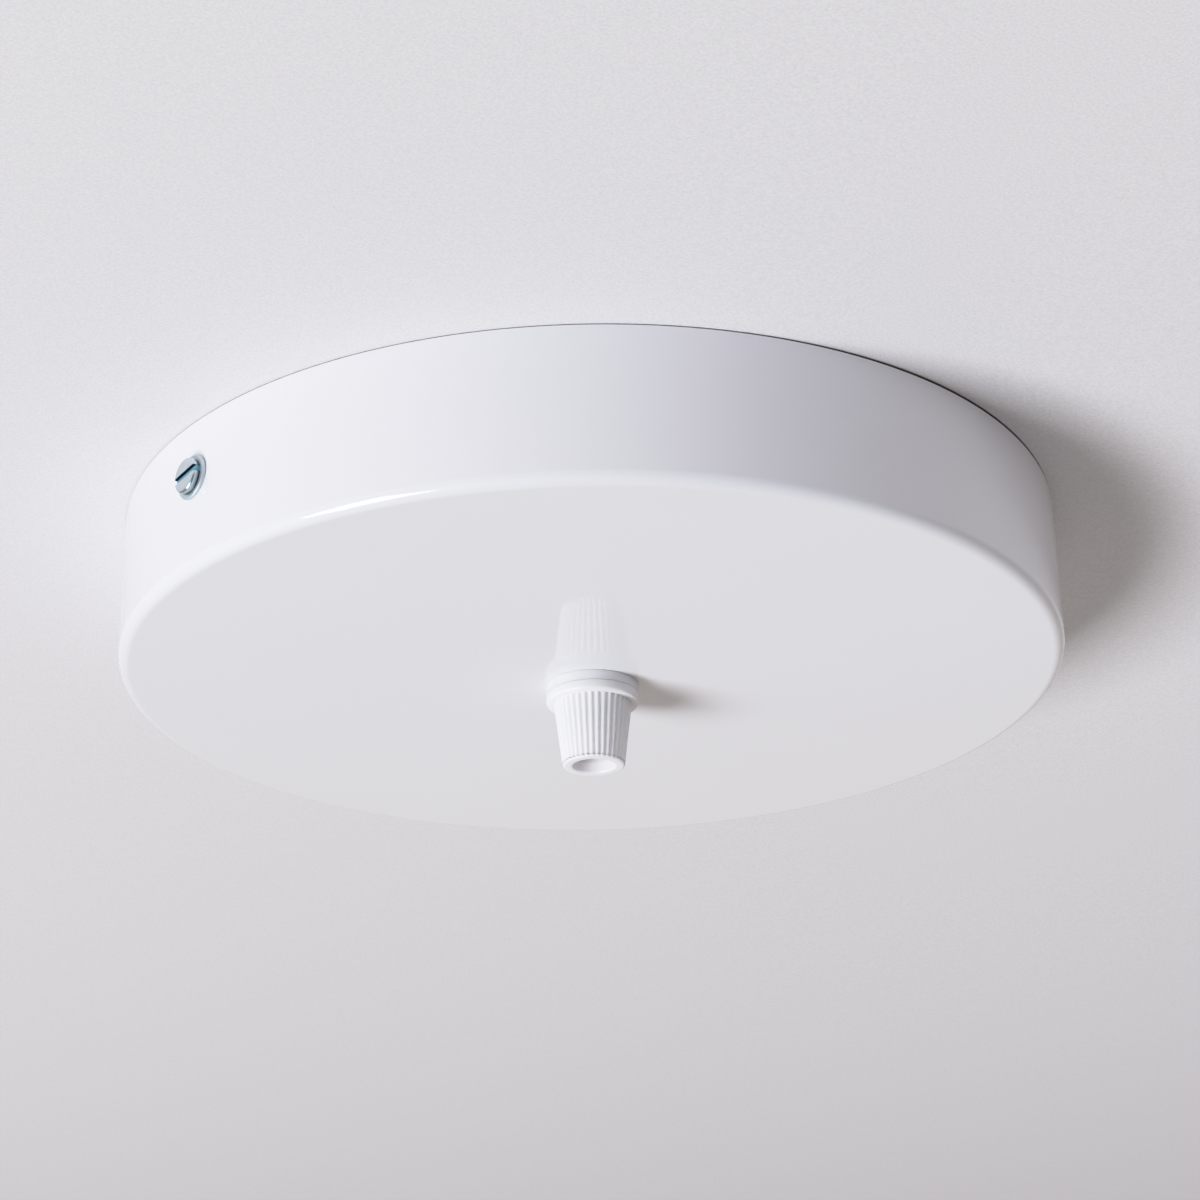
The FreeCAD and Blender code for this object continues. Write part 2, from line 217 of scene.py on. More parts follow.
def addNode(tree, kind, sockets=None, **settings):  # a socket's value may be another node's output
    made = tree.nodes.new("ShaderNode" + kind)
    for key, value in settings.items():
        setattr(made, key, value)
    for key, value in (sockets or {}).items():
        if isinstance(value, bpy.types.NodeSocket):
            tree.links.new(value, made.inputs[key])
        else:
            made.inputs[key].default_value = value
    return made


def newMaterial(name):
    material = bpy.data.materials.new(name)
    material.use_nodes = True
    tree = material.node_tree
    tree.nodes.clear()
    place = addNode(tree, "TexCoord").outputs["Object"]
    return material, tree, place


def toned(tree, colour, tone, value, start, end):  # mixes a tone into a colour as a value goes from start to end
    share = addNode(tree, "MapRange", {"Value": value, "From Min": start, "From Max": end})
    mixed = addNode(tree, "MixRGB", {"Fac": share.outputs[0], "Color1": colour, "Color2": hexLinear(tone)})
    return mixed.outputs[0]


def finishMaterial(tree, sockets):
    shader = addNode(tree, "BsdfPrincipled", sockets)
    addNode(tree, "OutputMaterial", {"Surface": shader.outputs[0]})


def powderCoat():
    # Baked white polyester powder on steel: even, slightly cool white with a satin sheen under a thin clear gloss
    # that mirrors what is near, a faint orange peel and a few specks of dust
    look = dict(white="#f1eff4", shade="#edebf0", speck="#8f887f", cloud=40.0, peel=1.7, peelDepth=0.0012,
                speckCell=15.0, speckRadius=0.17, sheen=(0.3, 0.36), underGloss=0.1, gloss=0.9, glossRoughness=0.03)
    material, tree, place = newMaterial("white powder coat")
    cloud = addNode(tree, "TexNoise", {"Vector": place, "Scale": perMetre(look["cloud"]), "Detail": 3.0})
    white = addNode(tree, "MixRGB", {"Fac": cloud.outputs[0], "Color1": hexLinear(look["white"]),
                                     "Color2": hexLinear(look["shade"])})
    cell = addNode(tree, "TexVoronoi", {"Vector": place, "Scale": perMetre(look["speckCell"])})
    chosen = addNode(tree, "SeparateColor", {"Color": cell.outputs["Color"]})
    reach = addNode(tree, "Math", {0: chosen.outputs[0], 1: look["speckRadius"] / look["speckCell"]},
                    operation="MULTIPLY")
    spot = addNode(tree, "Math", {0: cell.outputs["Distance"], 1: reach.outputs[0]}, operation="LESS_THAN")
    colour = addNode(tree, "MixRGB", {"Fac": spot.outputs[0], "Color1": white.outputs[0],
                                      "Color2": hexLinear(look["speck"])})
    sheen = addNode(tree, "MapRange", {"Value": cloud.outputs[0], "To Min": look["sheen"][0],
                                       "To Max": look["sheen"][1]})
    peel = addNode(tree, "TexNoise", {"Vector": place, "Scale": perMetre(look["peel"]), "Detail": 1.0})
    bump = addNode(tree, "Bump", {"Height": peel.outputs[0], "Distance": look["peelDepth"] * mm})
    finishMaterial(tree, {"Base Color": colour.outputs[0], "Roughness": sheen.outputs[0], "Normal": bump.outputs[0],
                          "Specular IOR Level": look["underGloss"], "Coat Weight": look["gloss"],
                          "Coat Roughness": look["glossRoughness"], "Coat Normal": bump.outputs[0]})
    return material


def mouldedNylon(name, light, dark, roughness, mottle, grain, grainDepth, glow):
    # Moulded nylon: a satin, milky plastic that light sinks into, whose skin keeps the fine spark grain of the mould
    look = dict(satinSpread=0.06, refraction=1.53, milk=0.6, milkColour=(1.0, 0.95, 0.9))
    material, tree, place = newMaterial(name)
    cloud = addNode(tree, "TexNoise", {"Vector": place, "Scale": perMetre(mottle), "Detail": 3.0})
    colour = addNode(tree, "MixRGB", {"Fac": cloud.outputs[0], "Color1": hexLinear(light), "Color2": hexLinear(dark)})
    skin = addNode(tree, "TexNoise", {"Vector": place, "Scale": perMetre(grain), "Detail": 2.0})
    satin = addNode(tree, "MapRange", {"Value": skin.outputs[0], "To Min": roughness - look["satinSpread"],
                                       "To Max": roughness + look["satinSpread"]})
    bump = addNode(tree, "Bump", {"Height": skin.outputs[0], "Distance": grainDepth * mm})
    finishMaterial(tree, {"Base Color": colour.outputs[0], "Roughness": satin.outputs[0], "Normal": bump.outputs[0],
                          "IOR": look["refraction"], "Subsurface Weight": look["milk"],
                          "Subsurface Radius": look["milkColour"], "Subsurface Scale": glow * mm})
    return material


def platedMetal(name, tints, patch, gloss, marks, markDepth, lineLength=None, slot=None):
    # Plated or bare metal: a bright mirror-like skin broken by tool marks, tinted in soft patches.
    # Turned pieces carry rings about their own axis; sheet carries the lines of its rolling.
    # In a screw's slot the walls are painted dark as painted shade and the floor is painted cyan as a painted
    # reflection; the head's side is painted darker toward its seat as painted shade.
    patchEdges = ((0.35, 0.55), (0.55, 0.7))  # where the cloud passes from each tint to the next
    material, tree, place = newMaterial(name)
    cloud = addNode(tree, "TexNoise", {"Vector": place, "Scale": perMetre(patch), "Detail": 2.0})
    colour = hexLinear(tints[0])
    for tint, edges in zip(tints[1:], patchEdges):
        colour = toned(tree, colour, tint, cloud.outputs[0], *edges)
    if lineLength:
        stretch = addNode(tree, "Mapping", {"Vector": place, "Scale": (marks / lineLength, 1, 1)})
        lines = addNode(tree, "TexNoise", {"Vector": stretch.outputs[0], "Scale": perMetre(marks), "Detail": 2.0})
    else:
        lathe = addNode(tree, "Attribute", attribute_name="lathe")
        lines = addNode(tree, "TexNoise", {"W": lathe.outputs["Fac"], "Scale": 1 / marks, "Detail": 2.0},
                        noise_dimensions="1D")
    rough = addNode(tree, "MapRange", {"Value": lines.outputs[0], "To Min": gloss[0], "To Max": gloss[1]})
    bump = addNode(tree, "Bump", {"Height": lines.outputs[0], "Distance": markDepth * mm})
    if slot:
        recess = addNode(tree, "Attribute", attribute_name="recess").outputs["Fac"]
        rough = addNode(tree, "Math", {0: rough.outputs[0], 1: recess}, operation="MAXIMUM")
        # Painted light: dark navy painted shade on the slot's walls and the head's side near the seat, cyan painted
        # reflection on the slot's floor
        for edges, tone in slot:
            colour = toned(tree, colour, tone, recess, *edges)
    finishMaterial(tree, {"Base Color": colour, "Roughness": rough.outputs[0], "Normal": bump.outputs[0],
                          "Metallic": 1.0})
    return material


powderWhite = powderCoat()
gripNylon = mouldedNylon("white moulded nylon", light="#f8f5f8", dark="#f4f1f4", roughness=0.36, mottle=9.0, grain=0.3,
                         grainDepth=0.002, glow=0.9)
connectorNylon = mouldedNylon("natural moulded nylon", light="#e6e4da", dark="#dcd9cc", roughness=0.42, mottle=7.0,
                              grain=0.35, grainDepth=0.004, glow=1.0)
# Its slot colours are painted light: the dark navy is painted shade, the cyan is a painted reflection
zincTurned = platedMetal("blue passivated zinc, turned", tints=("#ccd6da", "#d6dfe3", "#c3dde6"), patch=3.0,
                         gloss=(0.16, 0.30), marks=0.11, markDepth=0.004,
                         slot=(((0.0, 0.12), "#1f2c3a"), ((0.9, 1.0), "#9accdc")))
zincStamped = platedMetal("blue passivated zinc, stamped", tints=("#cfd9dc", "#d7e0e3", "#c6dde5"), patch=2.5,
                          gloss=(0.5, 0.65), marks=0.2, markDepth=0.002)
zincSheet = platedMetal("blue passivated zinc, sheet", tints=("#b4bec6", "#c3cbd6", "#b9cdd2"), patch=9.0,
                        gloss=(0.24, 0.40), marks=0.25, markDepth=0.004, lineLength=14.0)
brassTurned = platedMetal("turned brass", tints=("#cfae6a", "#d9bb7c", "#c09a58"), patch=4.0, gloss=(0.20, 0.34),
                          marks=0.12, markDepth=0.004)
brassSheet = platedMetal("stamped brass", tints=("#cfae6a", "#d8bd80", "#bd9856"), patch=5.0, gloss=(0.24, 0.38),
                         marks=0.2, markDepth=0.004, lineLength=8.0)
print("materials", len(bpy.data.materials))


# Canopy: a revolved sheet section with two screw holes through its wall

def makeCanopy():
    low, high = nodeBox("canopy")
    size = dict(radius=high[0], face=low[2], sheet=1.0, edge=1.8, rim=0.22, spigotHole=5.25, holeEdge=0.12,
                screwHole=1.8, screwZ=np.mean(nodeBox("side_screws"), 0)[2], holeRows=9, drillSegments=48,
                segments=384)
    inner, floor = size["radius"] - size["sheet"], size["face"] + size["sheet"]
    reach = 2 * size["screwHole"]
    band = (size["screwZ"] - reach, size["screwZ"] + reach)
    outline = roundedLoop([
        (size["spigotHole"], size["face"], size["holeEdge"]),
        (size["radius"], size["face"], size["edge"]),
        *straightRun(size["radius"], *band, size["holeRows"]),
        (size["radius"], 0, size["rim"]),
        (inner, 0, size["rim"]),
        *straightRun(inner, *band[::-1], size["holeRows"]),
        (inner, floor, size["edge"] - size["sheet"]),
        (size["spigotHole"], floor, size["holeEdge"]),
    ], stepDegrees=7.5)
    shell = newObject("canopyShell", meshFromSheets("canopyShell", [revolved(outline, size["segments"])]), powderWhite)
    drill = np.array([(0, -1), (size["screwHole"], -1), (size["screwHole"], 1), (0, 1)]) * (1, 2 * size["radius"])
    drill = revolved(drill, size["drillSegments"], closeV=False)
    drill = placed(drill, (1, 0, 0), (0, 1, 0), (0, 0, size["screwZ"]))
    cutAway(shell, newObject("drill", meshFromSheets("drill", [drill]), powderWhite))
    standFor(shell, "canopy")


# Cord grip: a threaded base with a collar, and the ribbed cone that screws on to it

def makeGripBase():
    # The spigot's radius is lowered by the thread's depth times the thread's wave, which fades out at its ends
    low, high = nodeBox("grip_base")
    face = nodeBox("canopy")[0][2]
    size = dict(collar=high[0], top=high[2], end=low[2], collarDrop=1.62, collarEdge=0.06, spigot=4.95, bore=3.3,
                seatMouth=4.3, seatDepth=1.3, seatEdge=0.08, seatFoot=0.2, boreEdge=0.4, spigotEdge=0.1, faceEdge=0.12,
                topChamfer=0.3, topRunout=0.4, endChamfer=0.25, endRunout=0.3, pitch=1.0, threadDepth=0.32, fade=0.6,
                onThread=0.01, rowsPerTurn=7, segments=144)
    under = face - size["collarDrop"]
    rows = int((high[2] - low[2]) / size["pitch"] * size["rowsPerTurn"])
    outline = roundedLoop([
        (size["bore"], size["top"], size["boreEdge"]),
        (size["spigot"] - size["topChamfer"], size["top"], size["spigotEdge"]),
        *straightRun(size["spigot"], size["top"] - size["topRunout"], face + size["topRunout"], rows),
        (size["spigot"], face, 0),
        (size["collar"], face, size["faceEdge"]),
        (size["collar"], under, size["collarEdge"]),
        (size["spigot"], under, 0),
        *straightRun(size["spigot"], under - size["endRunout"], size["end"] + size["endRunout"], rows),
        (size["spigot"] - size["endChamfer"], size["end"], size["spigotEdge"]),
        (size["seatMouth"], size["end"], size["seatEdge"]),
        (size["bore"], size["end"] + size["seatDepth"], size["seatFoot"]),
    ], stepDegrees=10)
    turn = np.linspace(0, fullTurn, size["segments"], endpoint=False)[:, None]
    radius, height = outline[:, 0], outline[:, 1]
    onThread = np.abs(radius - size["spigot"]) < size["onThread"]
    ends = np.maximum(fadeEnds(height, face, size["top"], size["fade"]),
                      fadeEnds(height, size["end"], under, size["fade"]))
    radius = radius - size["threadDepth"] * threadDrop(height, turn, size["pitch"]) * onThread * ends
    section = np.stack([radius, height + 0 * turn], -1)
    base = newObject("gripBase", meshFromSheets("gripBase", [revolved(section, size["segments"])]), gripNylon)
    standFor(base, "grip_base")


def makeGripCap():
    # Outside, the cone's radius falls in a straight line, less the grooves' depth times a wave round the axis:
    # tanh(k sin(n t)) / tanh(k), scaled to 0..1. The grooves start at the flange's underside and fade out at the tip.
    low, high = nodeBox("grip_cap")
    face = nodeBox("canopy")[0][2]
    size = dict(collar=high[0], top=high[2], tip=low[2], topEdge=0.06, flangeDepth=3.25, flangeEdge=0.5, coneTop=6.23,
                coneEnd=4.93, tipEdge=0.5, funnel=3.34, funnelEdge=0.45, funnelDepth=1.6, bore=2.95, boreEdge=0.3,
                chamberEnd=3.45, chamber=4.0, thread=5.0, threadEnd=6.65, insideEdge=0.05, ribs=36, groove=0.26,
                crestSharpness=1.0, ribStop=0.05, ribFade=0.35, columnsPerRib=14, coneRows=22, fadeRows=7,
                onCone=0.001, sharpDegrees=40.0)
    tip, under = size["tip"], face - size["flangeDepth"]

    def coneRadius(height):
        return np.interp(height, [tip, under], [size["coneEnd"], size["coneTop"]])

    fadeStart = tip + size["ribStop"] + size["ribFade"]
    rows = np.concatenate([np.linspace(under, fadeStart, size["coneRows"], endpoint=False),
                           np.linspace(fadeStart, tip + size["tipEdge"], size["fadeRows"])])
    outline = roundedLoop([
        (size["thread"], size["top"], size["insideEdge"]),
        (size["collar"], size["top"], size["topEdge"]),
        (size["collar"], under, size["flangeEdge"]),
        *[(coneRadius(height), height, 0) for height in rows],
        (size["coneEnd"], tip, size["tipEdge"]),
        (size["funnel"], tip, size["funnelEdge"]),
        (size["bore"], tip + size["funnelDepth"], size["boreEdge"]),
        (size["bore"], tip + size["chamberEnd"], size["insideEdge"]),
        (size["chamber"], tip + size["chamberEnd"], size["insideEdge"]),
        (size["thread"], tip + size["threadEnd"], size["insideEdge"]),
    ], guard=0.02)
    radius, height = outline[:, 0], outline[:, 1]
    count = size["ribs"] * size["columnsPerRib"]
    turn = np.linspace(0, fullTurn, count, endpoint=False)[:, None]
    wave = np.tanh(size["crestSharpness"] * np.sin(size["ribs"] * turn)) / np.tanh(size["crestSharpness"])
    half = size["tipEdge"] / 2  # the rounded tip lies inside the cone by up to twice this
    onCone = (np.abs(radius - coneRadius(height) + half) < half + size["onCone"]) & (height <= under)
    depth = size["groove"] * onCone * np.clip((height - tip - size["ribStop"]) / size["ribFade"], 0, 1)
    section = np.stack([radius - depth * (0.5 + 0.5 * wave), height + 0 * turn], -1)
    mesh = meshFromSheets("gripCap", [revolved(section, count)], size["sharpDegrees"])
    standFor(newObject("gripCap", mesh, gripNylon), "grip_cap")


# Screws: a slotted head over a threaded shank

def screwSheets(size):
    # Head: rows of equal y across the slot, y = R sin(lean), crowded at the slot's walls. Each row is a closed loop
    # over the top, where the height is the crown's quarter circle at the rim or the slot's floor, and back below,
    # where a painted shade at the seat, darkening the head's side, is given as a share of the slot's depth.
    radius, height, edge = size["headRadius"], size["headHeight"], size["headEdge"]
    half, depth, lip = size["slotWidth"] / 2, size["slotDepth"], size["lip"]
    soft, clear = 0.3 * lip, 1.5 * lip  # rounds the lip, and keeps the other rows off it
    lean = np.linspace(90, 0, size["headRows"])
    outer = radius * np.sin(np.radians(lean))
    outer = outer[outer > half + clear]
    slotY = np.array([half + lip, half + soft, half, half, half - soft, half - lip])
    slotDrop = np.array([0, soft, lip, depth - lip, depth - soft, depth])
    rowY = np.concatenate([outer, slotY])
    rowDrop = np.concatenate([0 * outer, slotDrop])
    y = np.concatenate([rowY, [0], -rowY[::-1]])[:, None]
    drop = np.concatenate([rowDrop, [depth], rowDrop[::-1]])[:, None]
    across = np.sin(np.radians(np.linspace(-90, 90, size["headColumns"])))
    x = across * np.sqrt(np.clip(radius ** 2 - y ** 2, 0, None))
    over = np.clip(np.hypot(x, y) - (radius - edge), 0, edge)
    crown = height - edge + np.sqrt(np.clip(edge ** 2 - over ** 2, 0, None))
    top = np.minimum(crown, height - drop)
    head = np.stack([x, y + 0 * x, top], -1)
    below = head[:, [-1, 0]] * (1, 1, 0)
    # painted shade: the head's side is painted darker toward the seat
    seat = np.maximum(drop / depth, size["seatPaintedShade"]) + 0 * below[..., 0]
    share = np.concatenate([drop / depth + 0 * x, seat], 1)
    head = sheet(np.concatenate([head, below], 1), closeU=False, recess=share)
    return [head, shankSheet(size)]


def shankSheet(size):
    # Shank: radius less a clipped triangle thread, tapering at the tip, closed at both ends on the axis
    radius, length, pitch, tip = size["radius"], size["length"], size["pitch"], size["tip"]
    bury = size["headHeight"] * size["buried"]
    height = np.linspace(bury, -length, int(length / pitch * size["rowsPerTurn"]))
    turn = np.linspace(0, fullTurn, size["columns"], endpoint=False)[:, None]
    body = radius - np.clip(tip - length - height, 0, None)
    worn = threadDrop(height, turn, pitch) * np.clip(-height / pitch, 0, 1)
    grid = np.stack([np.minimum(radius - size["threadDepth"] * worn, body), height + 0 * turn], -1)
    ends = grid[:, [0, -1]] * (0, 1)
    grid = np.concatenate([ends[:, :1], grid, ends[:, 1:]], 1)
    return revolved(grid, size["columns"], closeV=False)


def screwPiece(name, node, material, size, places):  # places: (axis out of the head, slot direction, seat)
    sheets = [placed(part, *place) for place in places for part in screwSheets(size)]
    standFor(newObject(name, meshFromSheets(name, sheets), material), node)


def makeScrews():
    sideSize = dict(headRadius=2.7, headHeight=1.1, headEdge=0.35, slotWidth=1.0, slotDepth=0.55, lip=0.06,
                    seatPaintedShade=0.14, buried=0.2, radius=1.5, length=8.0, pitch=0.5, threadDepth=0.28, tip=0.35,
                    headRows=34, headColumns=49, rowsPerTurn=8, columns=48)
    offLevel = math.radians(8.0)  # how far the side screws' slots were left from level
    low, high = nodeBox("side_screws")
    sideZ, seatX = (low[2] + high[2]) / 2, high[0] - sideSize["headHeight"]
    screwPiece("sideScrews", "side_screws", zincTurned, sideSize,
               [((side, 0, 0), (0, math.cos(offLevel), side * math.sin(offLevel)), (side * seatX, 0, sideZ))
                for side in (-1, 1)])

    clampSize = dict(sideSize, headRadius=1.9, headHeight=1.4, headEdge=0.2, slotWidth=0.6, slotDepth=0.7, length=4.6,
                     lip=0.05, headRows=20, headColumns=31, rowsPerTurn=6, columns=28)
    low, high = nodeBox("terminal_screws")
    clampZ = low[2] + clampSize["headHeight"]
    reach = clampSize["headRadius"]
    screwPiece("terminalScrews", "terminal_screws", zincTurned, clampSize,
               [((0, 0, -1), (1, 0, 0), (x, y, clampZ)) for x in (low[0] + reach, high[0] - reach)
                for y in (low[1] + reach, (low[1] + high[1]) / 2, high[1] - reach)])

    low, high = nodeBox("block_screws")
    blockSize = dict(sideSize, headRadius=2.6, headHeight=1.8, headEdge=0.4, slotWidth=0.8, slotDepth=0.9, length=8.0,
                     rowsPerTurn=6, columns=32)
    screwPiece("blockScrews", "block_screws", zincTurned, blockSize,
               [((0, 0, -1), (1, 0, 0), ((low[0] + high[0]) / 2, y, low[2] + blockSize["headHeight"]))
                for y in (low[1] + blockSize["headRadius"], high[1] - blockSize["headRadius"])])

    low, high = nodeBox("earth_screw")
    earthSize = dict(sideSize, headRadius=3.6, headHeight=2.4, headEdge=1.2, slotWidth=1.0, slotDepth=1.2, radius=2.0,
                     length=2.3, pitch=0.7, threadDepth=0.35)
    screwPiece("earthScrew", "earth_screw", zincTurned, earthSize,
               [((0, 0, -1), (1, 0, 0), ((low[0] + high[0]) / 2, 0, low[2] + earthSize["headHeight"]))])


# Washers and nut

def makeWashers():
    low, high = nodeBox("side_washers")
    seatX, middleZ = nodeBox("canopy")[1][0], (low[2] + high[2]) / 2
    flat = dict(bore=1.6, radius=3.4, sheet=0.5, edge=0.16, burr=0.05, segments=96)
    ring = revolved(roundedLoop([
        (flat["bore"], 0, flat["burr"]),
        (flat["radius"], 0, flat["burr"]),
        (flat["radius"], flat["sheet"], flat["edge"]),
        (flat["bore"], flat["sheet"], flat["edge"] / 2),
    ], stepDegrees=15, guard=0.01), flat["segments"])
    pair = [placed(ring, (side, 0, 0), (0, 1, 0), (side * seatX, 0, middleZ)) for side in (-1, 1)]
    standFor(newObject("sideWashers", meshFromSheets("sideWashers", pair), zincStamped), "side_washers")

    low, high = nodeBox("earth_cup_washer")
    cup = dict(bore=2.1, radius=4.8, sheet=0.8, edge=0.2, insideEdge=0.15, burr=0.08, segments=96)
    top, seat, rim = high[2], high[2] - cup["sheet"], low[2]
    ring = revolved(roundedLoop([
        (cup["bore"], top, cup["burr"]),
        (cup["radius"] - cup["sheet"], top, cup["edge"]),
        (cup["radius"], seat, 3 * cup["edge"]),
        (cup["radius"], rim, cup["edge"]),
        (cup["radius"] - cup["sheet"], rim, cup["edge"]),
        (cup["radius"] - cup["sheet"], seat, cup["insideEdge"]),
        (cup["bore"], seat, cup["burr"]),
    ], stepDegrees=15, guard=0.01), cup["segments"])
    ring = placed(ring, (0, 0, 1), (1, 0, 0), ((low[0] + high[0]) / 2, 0, 0))
    standFor(newObject("earthCupWasher", meshFromSheets("earthCupWasher", [ring]), zincStamped), "earth_cup_washer")

    low, high = nodeBox("toothed_washer")
    star = dict(bore=5.0, root=6.6, radius=high[0], teeth=12, sheet=0.5, gapShare=0.42, sharpness=5.0, columns=24)
    # Teeth: the rim's radius is a square wave softened by tanh, and each tooth leans along its own width
    turn = np.linspace(0, fullTurn, star["teeth"] * star["columns"], endpoint=False)[:, None]
    phase = np.mod(turn * star["teeth"] / fullTurn, 1)
    tooth = 0.5 - 0.5 * np.tanh(star["sharpness"] * (np.cos(fullTurn * (phase - star["gapShare"] / 2))
                                                      - np.cos(np.pi * star["gapShare"])))
    rim = star["root"] + (star["radius"] - star["root"]) * tooth
    out = np.array([0, 0.5, 1, 1, 0.5, 0])
    side = np.array([0, 0, 0, 1, 1, 1])
    radius = star["bore"] + (rim - star["bore"]) * out
    lean = np.clip((radius - star["root"]) / (star["radius"] - star["root"]), 0, 1)
    lift = (high[2] - low[2] - star["sheet"]) * (0.5 + (phase - star["gapShare"] / 2 - 0.5) * lean)
    section = np.stack([radius, low[2] + np.clip(lift, 0, high[2] - low[2] - star["sheet"]) + star["sheet"] * side], -1)
    ring = revolved(section, star["teeth"] * star["columns"])
    standFor(newObject("toothedWasher", meshFromSheets("toothedWasher", [ring]), zincStamped), "toothed_washer")


def makeLockNut():
    # Six flats: radius = apothem / cos(angle from the middle of a flat), and the chamfer lowers each corner
    # by half of what it stands beyond the flats
    low, high = nodeBox("lock_nut")
    size = dict(flats=14.0, bore=5.0, chamfer=0.4, cornerSlope=0.5, columnsPerFlat=24, edge=0.06, sharpDegrees=20.0)
    count = 6 * size["columnsPerFlat"]
    turn = np.linspace(0, fullTurn, count, endpoint=False)[:, None]
    apothem = size["flats"] / 2
    hexagon = apothem / np.cos(np.mod(turn, fullTurn / 6) - fullTurn / 12)
    drop = (hexagon - apothem) * size["cornerSlope"]
    bottom, top = low[2], high[2]
    steps = [(size["bore"] + 0 * turn, bottom + size["chamfer"]), (size["bore"] + size["chamfer"] + 0 * turn, bottom),
             (apothem - size["edge"] + 0 * turn, bottom), (hexagon, bottom + drop + size["edge"]),
             (hexagon, top - drop - size["edge"]), (apothem - size["edge"] + 0 * turn, top),
             (size["bore"] + size["chamfer"] + 0 * turn, top), (size["bore"] + 0 * turn, top - size["chamfer"])]
    section = np.stack([np.stack([radius, height + 0 * turn], -1) for radius, height in steps], 1)[:, :, 0]
    mesh = meshFromSheets("lockNut", [revolved(section, count)], size["sharpDegrees"])
    standFor(newObject("lockNut", mesh, zincTurned), "lock_nut")


makeCanopy()
makeGripBase()
makeGripCap()
makeScrews()
makeWashers()
makeLockNut()
solidCopy("gripCollet", "grip_collet", gripNylon, edge=0.08)
solidCopy("mountingBracket", "mounting_bracket", zincSheet, edge=0.18)
solidCopy("earthTag", "earth_tag", brassSheet, edge=0.1)
solidCopy("terminalHousing", "terminal_housing", connectorNylon, edge=0.3)
for pole in ("live", "earth", "neutral"):
    solidCopy(pole + "Barrel", "terminal_" + pole, brassTurned, edge=0.12)
print("pieces made")


# Stage: the ceiling that the rose hangs from, seen only from below

def makeCeiling():
    # A ring round the rose, a hair above its rim. Along one direction its height follows a tanh step that dies away
    # with the distance from the rim, as on uneven plaster, so that the gap opens to one side.
    # A short lip inside the rim blocks light, and the band above the rim is painted near-black, a painted shade that
    # keeps the gap dark.
    size = dict(hole=73.85, lip=-0.25, paintedShadeBand=74.7, rim=75.0, reach=3000.0, gap=0.07, rise=0.5, riseTurn=-40.0,
                riseStart=42.0, riseBlend=22.0, riseFade=140.0, rings=24, segments=128)
    radius = np.concatenate([[size["hole"], size["hole"], size["paintedShadeBand"]],
                             np.geomspace(size["rim"], size["reach"], size["rings"])])
    height = np.where(np.arange(len(radius)) == 0, size["lip"], size["gap"])
    ring = revolved(np.stack([radius, height], -1), size["segments"], closeV=False)
    turn = math.radians(size["riseTurn"])
    along = ring["points"][..., :2] @ (math.cos(turn), math.sin(turn))
    share = (1 + np.tanh((along - size["riseStart"]) / size["riseBlend"])) / 2
    ring["points"][..., 2] += size["rise"] * share * np.exp(-((ring["lathe"] - size["hole"]) / size["riseFade"]) ** 2)
    # painted shade: marks the band above the rim for near-black paint
    ring["recess"] = np.where(ring["lathe"] < (size["paintedShadeBand"] + size["rim"]) / 2, 1.0, 0.0)
    mesh = meshFromSheets("ceiling", [ring])
    if mesh.polygons[-1].normal.z > 0:
        mesh.flip_normals()
    newObject("ceiling", mesh, ceilingPaint())


def ceilingPaint():
    # Matt emulsion on plaster: pale white with a sandy grain and the soft stipple of a roller; near-black painted shade
    # on the band above the rim. It is clear from behind, and only the camera sees that painted shade, so light reaches
    # the rim.
    look = dict(light="#f8f4f6", dark="#d4d0d2", paintedShadeBand="#2e2823", grain=0.35, stipple=2.2, stippleDepth=0.016,
                stippleStrength=0.4, matt=0.8)
    material, tree, place = newMaterial("matt ceiling paint")
    sand = addNode(tree, "TexNoise", {"Vector": place, "Scale": perMetre(look["grain"]), "Detail": 2.0})
    colour = addNode(tree, "MixRGB", {"Fac": sand.outputs[0], "Color1": hexLinear(look["light"]),
                                      "Color2": hexLinear(look["dark"])})
    roller = addNode(tree, "TexNoise", {"Vector": place, "Scale": perMetre(look["stipple"]), "Detail": 3.0})
    bump = addNode(tree, "Bump", {"Height": roller.outputs[0], "Distance": look["stippleDepth"] * mm,
                                  "Strength": look["stippleStrength"]})
    # painted shade: the band above the rim is mixed to near-black, seen by the camera only
    recess = addNode(tree, "Attribute", attribute_name="recess")
    colour = addNode(tree, "MixRGB", {"Fac": recess.outputs["Fac"], "Color1": colour.outputs[0],
                                      "Color2": hexLinear(look["paintedShadeBand"])})
    paint = addNode(tree, "BsdfPrincipled", {"Base Color": colour.outputs[0], "Roughness": look["matt"],
                                             "Normal": bump.outputs[0]})
    behind = addNode(tree, "NewGeometry").outputs["Backfacing"]
    seen = addNode(tree, "LightPath").outputs["Is Camera Ray"]
    paintedShadeBand = addNode(tree, "Math", {0: recess.outputs["Fac"], 1: seen}, operation="SUBTRACT")
    through = addNode(tree, "Math", {0: behind, 1: paintedShadeBand.outputs[0]}, operation="MAXIMUM")
    clear = addNode(tree, "BsdfTransparent")
    mixed = addNode(tree, "MixShader", {0: through.outputs[0], 1: paint.outputs[0], 2: clear.outputs[0]})
    addNode(tree, "OutputMaterial", {"Surface": mixed.outputs[0]})
    return material


def fromAngles(azimuth, elevation, distance):  # a point round the rose, azimuth 0 on -Y, in millimetres
    a, e = math.radians(azimuth), math.radians(elevation)
    return Vector((math.sin(a) * math.cos(e), -math.cos(a) * math.cos(e), math.sin(e))) * distance


